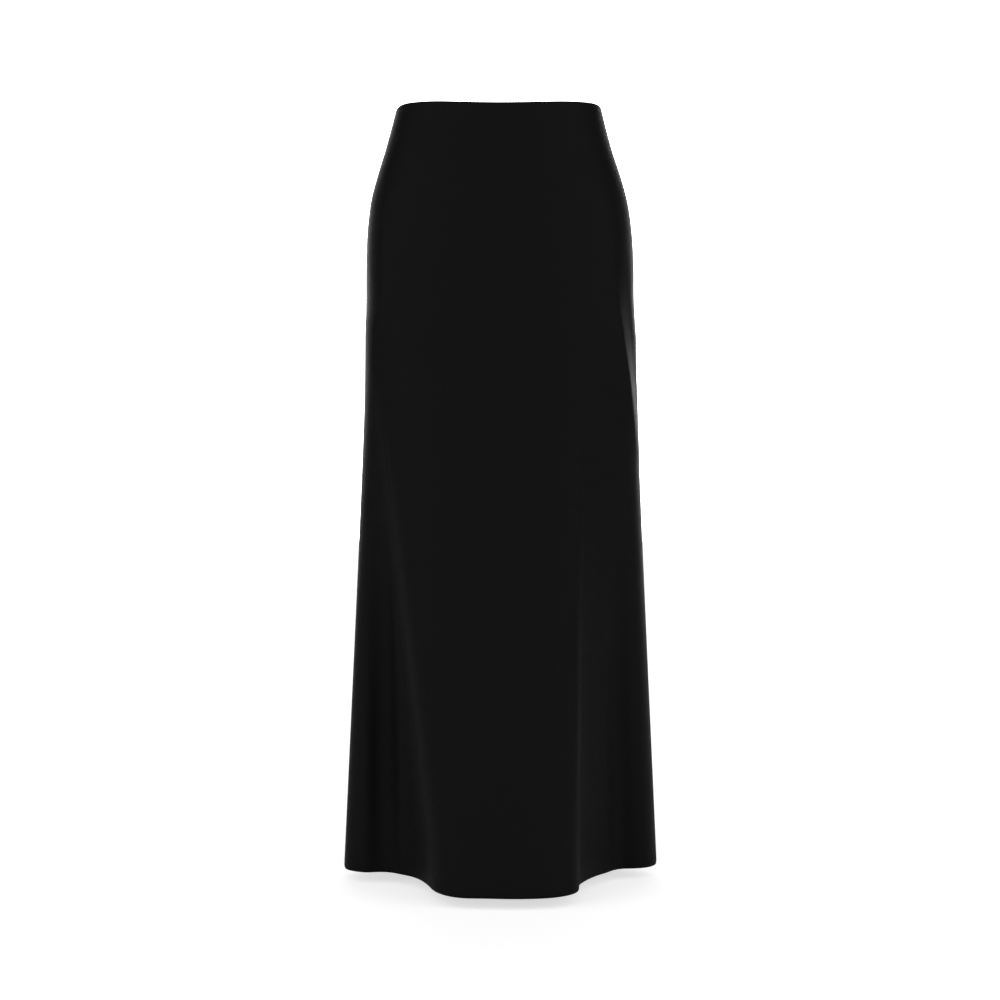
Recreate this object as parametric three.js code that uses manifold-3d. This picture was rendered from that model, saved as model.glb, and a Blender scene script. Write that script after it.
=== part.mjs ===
// A long A-line skirt of black wool, filled out as it is when it is worn: one front panel,
// two back panels, and a concealed zip in the centre back seam with a swinging pull tab.
// Millimetres. +Z is up, -Y is the front, +X is the wearer's left. The origin is the centre
// of the waist opening, where the skirt is held.

import * as THREE from "three";
import { mergeVertices } from "three/addons/utils/BufferGeometryUtils.js";
import Module from "manifold-3d";

const wasm = await Module();
wasm.setup();

// Lengths down the cloth from the waist
const SKIRT_LENGTH = 989;
const FORM_LENGTH = 300; // the cloth lies on the wearer down to here, and hangs free below
const EDGE_SETTLES = 150; // the rise and dip of the waist edge have died out here

// The wool, its turned edges, and the gap where two panels meet
const CLOTH = 1.6;
const WAIST_TURN = { depth: 9, end: 14, thickness: 2.4 };
const HEM_TURN = { depth: 35, thickness: 2.8 };
const SEAM_GAP = 0.3;

// Sections of the wearer's form, by distance below the waist: half widths to the wearer's
// right (-X) and left (+X), depths to the front (-Y) and back (+Y), and squareness, where 2
// is an ellipse
const FORM = [
  { down: -12, right: 131.5, left: 128.5, front: 87, back: 85, square: 2.2 },
  { down: 0, right: 134.5, left: 131.5, front: 88, back: 88, square: 2.2 },
  { down: 50, right: 147.8, left: 144.3, front: 94, back: 100, square: 2.2 },
  { down: 100, right: 162.5, left: 160.3, front: 98, back: 113, square: 2.2 },
  { down: 118, right: 167, left: 165, front: 100, back: 117, square: 2.2 },
  { down: 150, right: 171.3, left: 170, front: 102, back: 123, square: 2.25 },
  { down: 200, right: 173.6, left: 173.5, front: 105, back: 128, square: 2.25 },
  { down: 250, right: 173.8, left: 174, front: 107, back: 128, square: 2.3 },
  { down: 300, right: 174.6, left: 177, front: 109, back: 127, square: 2.3 },
];

// Height of the waist edge over the waist, by degrees from +X, counter-clockwise from above
const WAIST_EDGE = [
  { angle: 0, rise: 1.5 },
  { angle: 45, rise: 5.5 },
  { angle: 90, rise: 8 },
  { angle: 135, rise: 4 },
  { angle: 180, rise: -2 },
  { angle: 205, rise: 0 },
  { angle: 225, rise: -2 },
  { angle: 270, rise: -8 },
  { angle: 315, rise: -2 },
  { angle: 335, rise: 0.8 },
];

// The folds, counter-clockwise from above. Each row is a line of the cloth: the angle on the
// form at which it comes free, and the point of the hem that it falls to.
const FOLDS = [
  { name: "left side seam", angle: 0, x: 208, y: 45 },
  { name: "left back trough side", angle: 15, x: 192, y: 86 },
  { name: "left back trough", angle: 33, x: 154, y: 118 },
  { name: "left back flute side", angle: 46, x: 125, y: 158 },
  { name: "left back flute", angle: 58, x: 94, y: 179 },
  { name: "left back inner side", angle: 75, x: 45, y: 160 },
  { name: "centre back seam", angle: 90, x: 4, y: 134 },
  { name: "right back inner side", angle: 105, x: -44, y: 158 },
  { name: "right back flute", angle: 121, x: -98, y: 178 },
  { name: "right back flute side", angle: 134, x: -136, y: 148 },
  { name: "right back trough", angle: 150, x: -164, y: 108 },
  { name: "right back trough side", angle: 166, x: -196, y: 80 },
  { name: "right side seam", angle: 180, x: -204.5, y: 45 },
  { name: "right side turn", angle: 188, x: -200, y: 6 },
  { name: "right side panel", angle: 197, x: -176, y: -12 },
  { name: "right trough", angle: 205, x: -146, y: -14 },
  { name: "right flank foot", angle: 209, x: -113, y: -39 },
  { name: "right flank", angle: 212, x: -92, y: -88 },
  { name: "right flank top", angle: 215, x: -78, y: -137 },
  { name: "right crest", angle: 222, x: -55, y: -163 },
  { name: "front, right half", angle: 246, x: -18, y: -168 },
  { name: "front, left half", angle: 272, x: 28, y: -171 },
  { name: "left crest front", angle: 291, x: 72, y: -160 },
  { name: "left crest", angle: 300, x: 93, y: -138 },
  { name: "left flank top", angle: 304, x: 98, y: -100 },
  { name: "left flank", angle: 309, x: 112, y: -58 },
  { name: "left flank foot", angle: 317, x: 134, y: -20 },
  { name: "left trough", angle: 329, x: 162, y: 9 },
  { name: "left side panel", angle: 344, x: 192, y: 19 },
];
const ONSET = 0.14; // how softly the cloth comes free, as a share of its free length
const SEAMS = { left: 0, back: 6, right: 12 }; // rows of FOLDS

// Rows of points, by distance down the cloth, and columns from one fold line to the next
const ROWS = [0, WAIST_TURN.depth, WAIST_TURN.end, 40, 75, 105, 130, 160, 200, 250, 300, 355, 430,
  530, 660, 800, SKIRT_LENGTH - HEM_TURN.depth, SKIRT_LENGTH];
const COLUMNS = 4;

// The concealed zip: tapes inside the back panels, apart by the width of the coil
const ZIP = { top: 5, length: 205, tapeWidth: 12, tapeThickness: 0.8, halfCoil: 1.2 };
// Its slider, this far below the waist edge: a body inside the tapes, and a neck that comes
// out through the seam and ends in a bridge with a window for the pull
const SLIDER = { below: 19, width: 7, height: 8, thickness: 3, corner: 1.5 };
const BRIDGE = { thickness: 1.2, halfHeight: 2.4, axisOut: 1.2, window: 0.85, rim: 0.75 };
const SLOT = { halfWidth: 1, halfHeight: 3.2, end: 5 };
// The pull: a drop-shaped plate with an eye, whose top is a round bar in that window
const PULL = { length: 24, topHalfWidth: 2, tipRadius: 3.2, thickness: 1, barRadius: 0.45 };
const EYE = { halfWidth: 1.1, length: 3.6 };

const wool = new THREE.MeshStandardMaterial({ color: 0x141414, roughness: 0.9, metalness: 0 });
const tape = new THREE.MeshStandardMaterial({ color: 0x111111, roughness: 0.8, metalness: 0 });
const metal = new THREE.MeshStandardMaterial({ color: 0x1b1b1c, roughness: 0.35, metalness: 0.8 });

const clamp = THREE.MathUtils.clamp;
const lerp = THREE.MathUtils.lerp;

// A smooth curve through values at rising places. Its slope at each one is that of the
// parabola through it and its neighbours.
function smoothCurve(places, values) {
  const last = places.length - 1;
  const step = (i) => (values[i + 1] - values[i]) / (places[i + 1] - places[i]);
  const slopes = values.map((_, i) => {
    if (i === 0) return step(0);
    if (i === last) return step(last - 1);
    const share = (places[i] - places[i - 1]) / (places[i + 1] - places[i - 1]);
    return lerp(step(i - 1), step(i), share);
  });
  return (place) => {
    let i = 0;
    while (i < last - 1 && place > places[i + 1]) i += 1;
    const span = places[i + 1] - places[i];
    const t = (place - places[i]) / span;
    const rise = values[i + 1] - values[i];
    const bend = (slopes[i] + slopes[i + 1]) * span - 2 * rise;
    return values[i] + t * (slopes[i] * span + t * (rise - slopes[i] * span - bend + t * bend));
  };
}

// The same through a table that closes on itself, given what each column gains in one turn
function closedCurve(places, values, turn, gain) {
  const laps = [-1, 0, 1];
  return smoothCurve(
    laps.flatMap((lap) => places.map((place) => place + lap * turn)),
    laps.flatMap((lap) => values.map((value) => value + lap * gain)),
  );
}

const formColumn = (key) => smoothCurve(FORM.map((row) => row.down), FORM.map((row) => row[key]));
const form = {
  right: formColumn("right"),
  left: formColumn("left"),
  front: formColumn("front"),
  back: formColumn("back"),
  square: formColumn("square"),
};
const edgeRise = closedCurve(
  WAIST_EDGE.map((row) => row.angle), WAIST_EDGE.map((row) => row.rise), 360, 0,
);

// Places round the skirt are distances along the straight lines from fold to fold at the hem
const foldPlaces = [0];
FOLDS.forEach((fold, i) => {
  const next = FOLDS[(i + 1) % FOLDS.length];
  foldPlaces.push(foldPlaces[i] + Math.hypot(next.x - fold.x, next.y - fold.y));
});
const ROUND = foldPlaces.pop();
const foldPlace = (i) => foldPlaces[i % FOLDS.length] + ROUND * Math.floor(i / FOLDS.length);
const foldColumn = (key, gain) =>
  closedCurve(foldPlaces, FOLDS.map((fold) => fold[key]), ROUND, gain);
const folds = {
  angle: foldColumn("angle", 360),
  x: foldColumn("x", 0),
  y: foldColumn("y", 0),
};

// A point of the form at an angle in degrees and a distance below the waist
function formPoint(angle, down) {
  const [cos, sin] = [Math.cos(angle * Math.PI / 180), Math.sin(angle * Math.PI / 180)];
  const power = 2 / form.square(down);
  const halfWidth = cos > 0 ? form.left(down) : form.right(down);
  const depth = sin > 0 ? form.back(down) : form.front(down);
  return new THREE.Vector3(
    halfWidth * Math.sign(cos) * Math.abs(cos) ** power,
    depth * Math.sign(sin) * Math.abs(sin) ** power,
    -down,
  );
}

// A point of the skirt's outer face: on the form down to FORM_LENGTH, and from there on the
// straight line to the hem, which it joins in a soft bend
function outerPoint(place, down) {
  const angle = folds.angle(place);
  const rise = edgeRise(angle) * Math.max(0, 1 - down / EDGE_SETTLES);
  if (down <= FORM_LENGTH) return formPoint(angle, down - rise);
  const fall = (down - FORM_LENGTH) / (SKIRT_LENGTH - FORM_LENGTH);
  const bend = (t) => Math.hypot(t, ONSET) - ONSET;
  const hem = new THREE.Vector3(folds.x(place), folds.y(place), -down);
  const start = formPoint(angle, FORM_LENGTH).setZ(-down);
  return start.lerp(hem, bend(fall) / bend(1));
}

// The outward normal there
function outerNormal(place, down) {
  const reach = 0.5;
  const along = outerPoint(place + reach, down).sub(outerPoint(place - reach, down));
  const fall = outerPoint(place, down + reach).sub(outerPoint(place, down - reach));
  return fall.cross(along).normalize();
}

// Thickness of the wall, thicker where the waist edge and the hem are turned in
function thickness(down) {
  if (down > SKIRT_LENGTH - HEM_TURN.depth - 1) return HEM_TURN.thickness;
  const turned = (WAIST_TURN.end - down) / (WAIST_TURN.end - WAIST_TURN.depth);
  return lerp(CLOTH, WAIST_TURN.thickness, clamp(turned, 0, 1));
}

// A closed wall between an outer and an inner grid of points. Rows run down, and columns
// counter-clockwise seen from above. Each pair of rows makes one loop of points, outer and
// inner, and the edges at the top and bottom close it.
function wallGeometry(outer, inner) {
  const loops = outer.map((row, r) => [...row, ...inner[r].toReversed()]);
  const size = loops[0].length;
  const width = outer[0].length;
  const faces = [];
  const quad = (a, b, c, d) => faces.push(a, d, b, b, d, c);
  for (let r = 0; r + 1 < loops.length; r += 1) {
    for (let i = 0; i < size; i += 1) {
      const [here, next] = [r * size, (r + 1) * size];
      const j = (i + 1) % size;
      quad(here + i, here + j, next + j, next + i);
    }
  }
  const bottom = (loops.length - 1) * size;
  for (let i = 0; i + 1 < width; i += 1) {
    const [within, withinNext] = [size - 1 - i, size - 2 - i];
    quad(within, withinNext, i + 1, i);
    quad(bottom + i, bottom + i + 1, bottom + withinNext, bottom + within);
  }
  const geometry = new THREE.BufferGeometry();
  geometry.setAttribute("position", new THREE.Float32BufferAttribute(
    loops.flat().flatMap((point) => point.toArray()), 3,
  ));
  geometry.setIndex(faces);
  return geometry;
}

// The two faces of a panel from one seam to the next, as grids of points. halfGap gives half
// the gap at each seam, by distance down the cloth.
function panelFaces(fromFold, toFold, rows, halfGap) {
  const places = [foldPlace(fromFold)];
  for (let fold = fromFold; fold < toFold; fold += 1) {
    for (let k = 1; k <= COLUMNS; k += 1) {
      places.push(lerp(foldPlace(fold), foldPlace(fold + 1), k / COLUMNS));
    }
  }
  const outer = rows.map((down) => places.map((place) => outerPoint(place, down)));
  const inner = rows.map((down, r) => places.map((place, i) =>
    outer[r][i].clone().addScaledVector(outerNormal(place, down), -thickness(down))));
  const moveIn = (row, edge, next, distance) =>
    row[edge].lerp(row[next], distance / row[edge].distanceTo(row[next]));
  for (const face of [outer, inner]) {
    face.forEach((row, r) => {
      moveIn(row, 0, 1, halfGap.start(rows[r]));
      moveIn(row, row.length - 1, row.length - 2, halfGap.end(rows[r]));
    });
  }
  return { outer, inner, rows };
}

const plainGap = () => SEAM_GAP / 2;
// The centre back seam parts round the slider's neck
const slotGap = (down) => (Math.abs(down - SLIDER.below) < SLOT.end ? SLOT.halfWidth : plainGap());
const slotRows = [-SLOT.end, -SLOT.halfHeight, SLOT.halfHeight, SLOT.end]
  .map((offset) => SLIDER.below + offset);
const backRows = [...new Set([...ROWS, ...slotRows])].sort((a, b) => a - b);

const panels = {
  back_left: panelFaces(SEAMS.left, SEAMS.back, backRows, { start: plainGap, end: slotGap }),
  back_right: panelFaces(SEAMS.back, SEAMS.right, backRows, { start: slotGap, end: plainGap }),
  front: panelFaces(SEAMS.right, FOLDS.length, ROWS, { start: plainGap, end: plainGap }),
};

// A tape of the zip, laid on the inner face of a back panel along its centre back edge: its
// points are the panel's, moved in. side is 1 for the left panel and -1 for the right.
function tapeGeometry(panel, side) {
  // The panel's inner point and inward direction at a distance from its centre back edge
  const across = (r, distance) => {
    const [inner, outer] = side > 0
      ? [panel.inner[r].toReversed(), panel.outer[r].toReversed()]
      : [panel.inner[r], panel.outer[r]];
    let left = distance;
    let i = 0;
    while (left > inner[i].distanceTo(inner[i + 1])) {
      left -= inner[i].distanceTo(inner[i + 1]);
      i += 1;
    }
    const share = left / inner[i].distanceTo(inner[i + 1]);
    const point = inner[i].clone().lerp(inner[i + 1], share);
    const inward = point.clone().sub(outer[i].clone().lerp(outer[i + 1], share)).normalize();
    return { point, inward };
  };
  const bottom = ZIP.top + ZIP.length;
  const rows = [ZIP.top, ...panel.rows.filter((down) => down > ZIP.top && down < bottom), bottom];
  const grid = (depth) => rows.map((down) => {
    const above = panel.rows.findLastIndex((row) => row <= down);
    const share = (down - panel.rows[above]) / (panel.rows[above + 1] - panel.rows[above]);
    const row = [0, 0.5, 1].map((part) => {
      const distance = ZIP.halfCoil + part * ZIP.tapeWidth;
      const [high, low] = [across(above, distance), across(above + 1, distance)];
      return high.point.lerp(low.point, share)
        .addScaledVector(high.inward.lerp(low.inward, share).normalize(), depth);
    });
    return side > 0 ? row.toReversed() : row;
  });
  return wallGeometry(grid(SEAM_GAP), grid(SEAM_GAP + ZIP.tapeThickness));
}

function solidOf(geometry) {
  const bare = geometry.index ? geometry.clone() : geometry;
  bare.deleteAttribute("normal");
  bare.deleteAttribute("uv");
  const merged = mergeVertices(bare);
  return new wasm.Manifold(new wasm.Mesh({
    numProp: 3,
    vertProperties: merged.attributes.position.array,
    triVerts: new Uint32Array(merged.index.array),
  }));
}

function joined(...geometries) {
  const mesh = geometries.map(solidOf).reduce((whole, solid) => whole.add(solid)).getMesh();
  const geometry = new THREE.BufferGeometry();
  geometry.setAttribute("position", new THREE.BufferAttribute(mesh.vertProperties, 3));
  geometry.setIndex(new THREE.BufferAttribute(mesh.triVerts, 1));
  return geometry;
}

// A rectangle with round corners, centred on x, y
function roundedRectangle(x, y, halfWidth, halfHeight, corner) {
  const [w, h] = [halfWidth - corner, halfHeight - corner];
  const shape = new THREE.Shape();
  shape.absarc(x + w, y + h, corner, 0, Math.PI / 2);
  shape.absarc(x - w, y + h, corner, Math.PI / 2, Math.PI);
  shape.absarc(x - w, y - h, corner, Math.PI, 1.5 * Math.PI);
  shape.absarc(x + w, y - h, corner, 1.5 * Math.PI, 2 * Math.PI);
  return shape;
}

// The zip's hard pieces are made in a frame of their own: the origin on the cloth's outer face
// at the slider's middle, +X as the skirt's, +Y out of the cloth and +Z up along it.
// The slider: its body inside the tapes, and its neck and bridge
function sliderGeometry() {
  const bodyOut = -(CLOTH + SEAM_GAP + ZIP.tapeThickness + SEAM_GAP);
  const bevel = 0.4;
  const body = new THREE.ExtrudeGeometry(
    roundedRectangle(0, 0, SLIDER.width / 2 - bevel, SLIDER.height / 2 - bevel, SLIDER.corner),
    { depth: SLIDER.thickness - 2 * bevel, bevelSize: bevel, bevelThickness: bevel,
      bevelSegments: 1, curveSegments: 3 },
  );
  body.rotateX(Math.PI / 2);
  body.translate(0, bodyOut - bevel, 0);

  const sunk = 1; // how far the neck goes into the body
  const top = BRIDGE.axisOut + BRIDGE.window + BRIDGE.rim;
  const foot = bodyOut - sunk;
  const outline = roundedRectangle(
    (top + foot) / 2, 0, (top - foot) / 2, BRIDGE.halfHeight, BRIDGE.rim,
  );
  const window = new THREE.Path();
  window.absarc(BRIDGE.axisOut, 0, BRIDGE.window, 0, 2 * Math.PI, true);
  outline.holes.push(window);
  const bridge = new THREE.ExtrudeGeometry(
    outline, { depth: BRIDGE.thickness, bevelEnabled: false, curveSegments: 5 },
  );
  // The outline lies in the Y-Z plane
  bridge.translate(0, 0, -BRIDGE.thickness / 2);
  bridge.applyMatrix4(new THREE.Matrix4().makeBasis(
    new THREE.Vector3(0, 1, 0), new THREE.Vector3(0, 0, 1), new THREE.Vector3(1, 0, 0),
  ));
  return joined(body, bridge);
}

// The pull as it hangs: its bar lies along X at the bridge's axis
function pullGeometry() {
  const bevel = 0.2;
  const tipCentre = -(PULL.length - PULL.tipRadius);
  const outline = new THREE.Shape();
  outline.moveTo(PULL.topHalfWidth, 0);
  outline.lineTo(EYE.halfWidth, 0);
  outline.lineTo(EYE.halfWidth, -EYE.length);
  outline.lineTo(-EYE.halfWidth, -EYE.length);
  outline.lineTo(-EYE.halfWidth, 0);
  outline.lineTo(-PULL.topHalfWidth, 0);
  outline.absarc(0, tipCentre, PULL.tipRadius, Math.PI, 2 * Math.PI);
  const plate = new THREE.ExtrudeGeometry(outline, {
    depth: PULL.thickness - 2 * bevel, bevelSize: bevel, bevelThickness: bevel,
    bevelOffset: -bevel, bevelSegments: 1, curveSegments: 10,
  });
  plate.rotateX(Math.PI / 2);
  plate.translate(0, PULL.thickness / 2 - bevel, 0);
  const bar = new THREE.CylinderGeometry(
    PULL.barRadius, PULL.barRadius, 2 * PULL.topHalfWidth, 12,
  );
  bar.rotateZ(Math.PI / 2);
  const pull = joined(plate, bar);
  pull.translate(0, BRIDGE.axisOut, 0);
  return pull;
}

function addMesh(parent, name, geometry, material) {
  const mesh = new THREE.Mesh(geometry, material);
  mesh.name = name;
  parent.add(mesh);
}

const skirt = new THREE.Group();
for (const [name, { outer, inner }] of Object.entries(panels)) {
  addMesh(skirt, name, wallGeometry(outer, inner), wool);
}
addMesh(skirt, "zip_tape_left", tapeGeometry(panels.back_left, 1), tape);
addMesh(skirt, "zip_tape_right", tapeGeometry(panels.back_right, -1), tape);

const zip = new THREE.Group();
const seamPlace = foldPlace(SEAMS.back);
const outward = outerNormal(seamPlace, SLIDER.below);
zip.position.copy(outerPoint(seamPlace, SLIDER.below));
zip.rotation.x = Math.atan2(outward.z, outward.y);
addMesh(zip, "zip_slider", sliderGeometry(), metal);
addMesh(zip, "zip_pull", pullGeometry(), metal);
skirt.add(zip);

export default skirt;
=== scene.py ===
"""The looks of the long wool skirt: its cloth as fine shells with seams, darts, turned edges
and creases, its concealed zip, and a white studio.

The object is in metres, as the frame is. The cloth is worked out in millimetres, from the
tables that its cut has in the part's source, and turned into metres as its meshes are made.
+Z is up, -Y is the front and +X is the wearer's left."""

import math

import bpy
import numpy as np
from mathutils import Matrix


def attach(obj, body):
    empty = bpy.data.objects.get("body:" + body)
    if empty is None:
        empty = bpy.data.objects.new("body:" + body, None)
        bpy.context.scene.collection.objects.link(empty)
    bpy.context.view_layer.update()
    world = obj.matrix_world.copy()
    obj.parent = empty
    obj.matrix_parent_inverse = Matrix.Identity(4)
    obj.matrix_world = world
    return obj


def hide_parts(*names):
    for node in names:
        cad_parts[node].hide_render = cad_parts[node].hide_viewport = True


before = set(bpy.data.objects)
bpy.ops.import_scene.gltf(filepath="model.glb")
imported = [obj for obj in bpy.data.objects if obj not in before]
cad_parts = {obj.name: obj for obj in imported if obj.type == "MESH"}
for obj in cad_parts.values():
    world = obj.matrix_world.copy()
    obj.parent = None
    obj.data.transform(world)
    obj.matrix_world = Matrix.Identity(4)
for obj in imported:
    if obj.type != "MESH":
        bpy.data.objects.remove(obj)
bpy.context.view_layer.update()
MM = 0.001  # in metres

# ---------------------------------------------------------------- the camera

CAMERA_DISTANCE, CAMERA_DOWN = 2.4, 0.5067  # in front of the waist's middle, and below it
LENS = 66.46  # the picture is 1.3 m wide at the skirt's middle

camera = bpy.data.objects.new("camera", bpy.data.cameras.new("camera"))
camera.data.sensor_width = 36
camera.data.lens = LENS
camera.location = (0, -CAMERA_DISTANCE, -CAMERA_DOWN)
camera.rotation_euler = (math.pi / 2, 0, 0)
bpy.context.scene.collection.objects.link(camera)
bpy.context.scene.camera = camera

# ---------------------------------------------------------------- the cut, as in the part

SKIRT_LENGTH = 989  # down the cloth, from the level of the waist to the hem
FORM_LENGTH = 300  # so far down the cloth lies on the form
EDGE_SETTLES = 150  # so far down the rise of the waist edge is felt

# Sections of the form: distance below the waist, half widths to the right (-X) and left (+X),
# depths to the front (-Y) and back (+Y), squareness
FORM = np.array([
    (-12, 131.5, 128.5, 87, 85, 2.2),
    (0, 134.5, 131.5, 88, 88, 2.2),
    (50, 147.8, 144.3, 94, 100, 2.2),
    (100, 162.5, 160.3, 98, 113, 2.2),
    (118, 167, 165, 100, 117, 2.2),
    (150, 171.3, 170, 102, 123, 2.25),
    (200, 173.6, 173.5, 105, 128, 2.25),
    (250, 173.8, 174, 107, 128, 2.3),
    (300, 174.6, 177, 109, 127, 2.3),
])
# The waist edge: degrees from +X, counter-clockwise from above, and height over the waist
WAIST_EDGE = np.array([
    (0, 1.5), (45, 5.5), (90, 8), (135, 4), (180, -2),
    (205, 0), (225, -2), (270, -8), (315, -2), (335, 0.8),
])
# The folds: the angle on the form at which a line of the cloth comes free, and the point of
# the hem that it falls to
FOLDS = np.array([
    (0, 208, 45),  # left side seam
    (15, 192, 86),
    (33, 154, 118),
    (46, 125, 158),
    (58, 94, 179),
    (75, 45, 160),
    (90, 4, 134),  # centre back seam
    (105, -44, 158),
    (121, -98, 178),
    (134, -136, 148),
    (150, -164, 108),
    (166, -196, 80),
    (180, -204.5, 45),  # right side seam
    (188, -200, 6),
    (197, -176, -12),
    (205, -146, -14),  # right trough
    (209, -113, -39),
    (212, -92, -88),
    (215, -78, -137),
    (222, -55, -163),  # right crest
    (246, -18, -168),
    (272, 28, -171),
    (291, 72, -160),
    (300, 93, -138),  # left crest
    (304, 98, -100),
    (309, 112, -58),
    (317, 134, -20),
    (329, 162, 9),  # left trough
    (344, 192, 19),
])
ONSET = 0.14  # the part of its fall over which a line of the cloth bends away from the form
LEFT_SEAM, BACK_SEAM, RIGHT_SEAM = 0, 6, 12  # rows of FOLDS


def smooth_curve(places, values):
    """The curve of the part: its slope at a row is that of the parabola through the row and
    its two neighbours."""
    places, values = np.asarray(places, float), np.asarray(values, float)
    steps = np.diff(values) / np.diff(places)
    shares = (places[1:-1] - places[:-2]) / (places[2:] - places[:-2])
    inner = steps[:-1] + shares * (steps[1:] - steps[:-1])
    slopes = np.concatenate([steps[:1], inner, steps[-1:]])

    def at(place):
        i = np.clip(np.searchsorted(places, place) - 1, 0, len(places) - 2)
        span = places[i + 1] - places[i]
        t = (place - places[i]) / span
        rise = values[i + 1] - values[i]
        leave = slopes[i] * span
        bend = leave + slopes[i + 1] * span - 2 * rise
        return values[i] + t * (leave + t * (rise - leave - bend + t * bend))

    return at


def closed_curve(places, values, turn, gain=0):
    """The same through a table that closes on itself, whose values gain so much in a turn."""
    laps = (-1, 0, 1)
    return smooth_curve(
        np.concatenate([places + lap * turn for lap in laps]),
        np.concatenate([values + lap * gain for lap in laps]),
    )


form_right, form_left, form_front, form_back, form_square = (
    smooth_curve(FORM[:, 0], FORM[:, column]) for column in range(1, 6)
)
edge_rise = closed_curve(WAIST_EDGE[:, 0], WAIST_EDGE[:, 1], 360)

# Places round the skirt are distances along the straight lines from fold to fold at the hem
fold_steps = np.hypot(*(np.roll(FOLDS[:, 1:], -1, axis=0) - FOLDS[:, 1:]).T)
fold_places = np.concatenate([[0], np.cumsum(fold_steps)[:-1]])
ROUND = fold_steps.sum()
fold_angle = closed_curve(fold_places, FOLDS[:, 0], ROUND, 360)
fold_x = closed_curve(fold_places, FOLDS[:, 1], ROUND)
fold_y = closed_curve(fold_places, FOLDS[:, 2], ROUND)
many_places = np.linspace(-ROUND, 2 * ROUND, 4000)
many_angles = fold_angle(many_places)


def place_of(angle):
    """The place whose line leaves the form at an angle in degrees."""
    return np.interp(angle, many_angles, many_places)


def form_point(angle, down):
    """A point of the form at an angle in degrees and a distance below the waist."""
    cos, sin = np.cos(np.radians(angle)), np.sin(np.radians(angle))
    power = 2 / form_square(down)
    half_width = np.where(cos > 0, form_left(down), form_right(down))
    depth = np.where(sin > 0, form_back(down), form_front(down))
    return np.stack([
        half_width * np.sign(cos) * np.abs(cos) ** power,
        depth * np.sign(sin) * np.abs(sin) ** power,
        -down,
    ], -1)


def hanging_point(place, down):
    """A point of the part's outer face, at a place and a distance down the cloth."""
    place, down = np.broadcast_arrays(np.asarray(place, float), np.asarray(down, float))
    angle = fold_angle(place)
    rise = edge_rise(angle) * np.clip(1 - down / EDGE_SETTLES, 0, None)
    on_form = np.minimum(down, FORM_LENGTH)
    point = form_point(angle, on_form - rise)
    fall = np.clip(down - FORM_LENGTH, 0, None) / (SKIRT_LENGTH - FORM_LENGTH)
    share = (np.hypot(fall, ONSET) - ONSET) / (math.hypot(1, ONSET) - ONSET)
    hem = np.stack([fold_x(place), fold_y(place)], -1)
    point[..., :2] += (hem - point[..., :2]) * share[..., None]
    point[..., 2] -= down - on_form
    return point


def spacing(place, down):
    """Length of cloth along the level line from one whole place to the next."""
    step = hanging_point(place + 2, down) - hanging_point(place - 2, down)
    return np.linalg.norm(step, axis=-1) / 4


NORMAL_REACH = 0.6  # a normal is measured from points so far to each side
LEAST_SPACING = 0.03


def normals(surface, place, down):
    """Outward unit normals of surface(place, down)."""
    aside = NORMAL_REACH / np.maximum(spacing(place, down), LEAST_SPACING)
    along = surface(place + aside, down) - surface(place - aside, down)
    fall = surface(place, down + NORMAL_REACH) - surface(place, down - NORMAL_REACH)
    normal = np.cross(fall, along)
    return normal / np.linalg.norm(normal, axis=-1, keepdims=True)


# The folds as drawn meet in rather straight lines, which are eased over so much of the cloth
# to each side: the right crest of the front is the softest, and the left one stays crisp.
# Columns: degrees on the form, and the reach at the end of the form and at the hem
EASE = np.array([
    (0, 6, 10), (90, 6, 12), (180, 6, 10), (200, 10, 14), (212, 26, 20), (222, 24, 16),
    (246, 12, 12), (290, 12, 10), (301, 14, 3), (310, 16, 8), (330, 10, 12), (345, 6, 10),
])
EASE_FROM, EASE_FULL = 260, 320  # how far down the easing begins, and where it is whole
EASE_SHARES = (-1, 0.11), (-0.5, 0.24), (0, 0.3), (0.5, 0.24), (1, 0.11)  # part of the reach, share
ease_high = closed_curve(EASE[:, 0], EASE[:, 1], 360)
ease_low = closed_curve(EASE[:, 0], EASE[:, 2], 360)


class LevelTable:
    """Values by a distance down the cloth and a number along its level line, read from a
    table between its rows and columns."""

    DOWN_STEP, ALONG_STEP = 5.0, 1.0

    def __init__(self, downs, along, values):
        self.down, self.along, self.values = downs[0], along[0], values

    def read(self, along, down):
        rows, columns = self.values.shape
        # Just short of the last row and column, so that there is always a next one
        row = np.clip((down - self.down) / self.DOWN_STEP, 0, rows - 1.001)
        column = np.clip((along - self.along) / self.ALONG_STEP, 0, columns - 1.001)
        r, c = row.astype(int), column.astype(int)
        u, v = row - r, column - c
        high = (1 - v) * self.values[r, c] + v * self.values[r, c + 1]
        low = (1 - v) * self.values[r + 1, c] + v * self.values[r + 1, c + 1]
        return (1 - u) * high + u * low


level_downs = np.arange(-5, SKIRT_LENGTH + 10, LevelTable.DOWN_STEP)
level_places = np.arange(-ROUND, 2 * ROUND, LevelTable.ALONG_STEP)
level_steps = np.linalg.norm(
    np.diff(hanging_point(level_places[None], level_downs[:, None]), axis=1), axis=-1
)
level_lengths = np.pad(np.cumsum(level_steps, axis=1), ((0, 0), (1, 0)))
all_lengths = np.arange(0, level_lengths.max(), LevelTable.ALONG_STEP)
lengths_by_place = LevelTable(level_downs, level_places, level_lengths)
places_by_length = LevelTable(level_downs, all_lengths, np.stack([
    np.interp(all_lengths, lengths, level_places) for lengths in level_lengths
]))


def level_length(place, down):
    """Distance along the level line at a distance down the cloth, from where the table
    starts."""
    return lengths_by_place.read(place, down)


def place_along(place, distance, down):
    """The place at a distance along the level line from another, counter-clockwise."""
    length = level_length(place, down)
    moved = places_by_length.read(length + distance, down)
    return place + moved - places_by_length.read(length, down)


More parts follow.
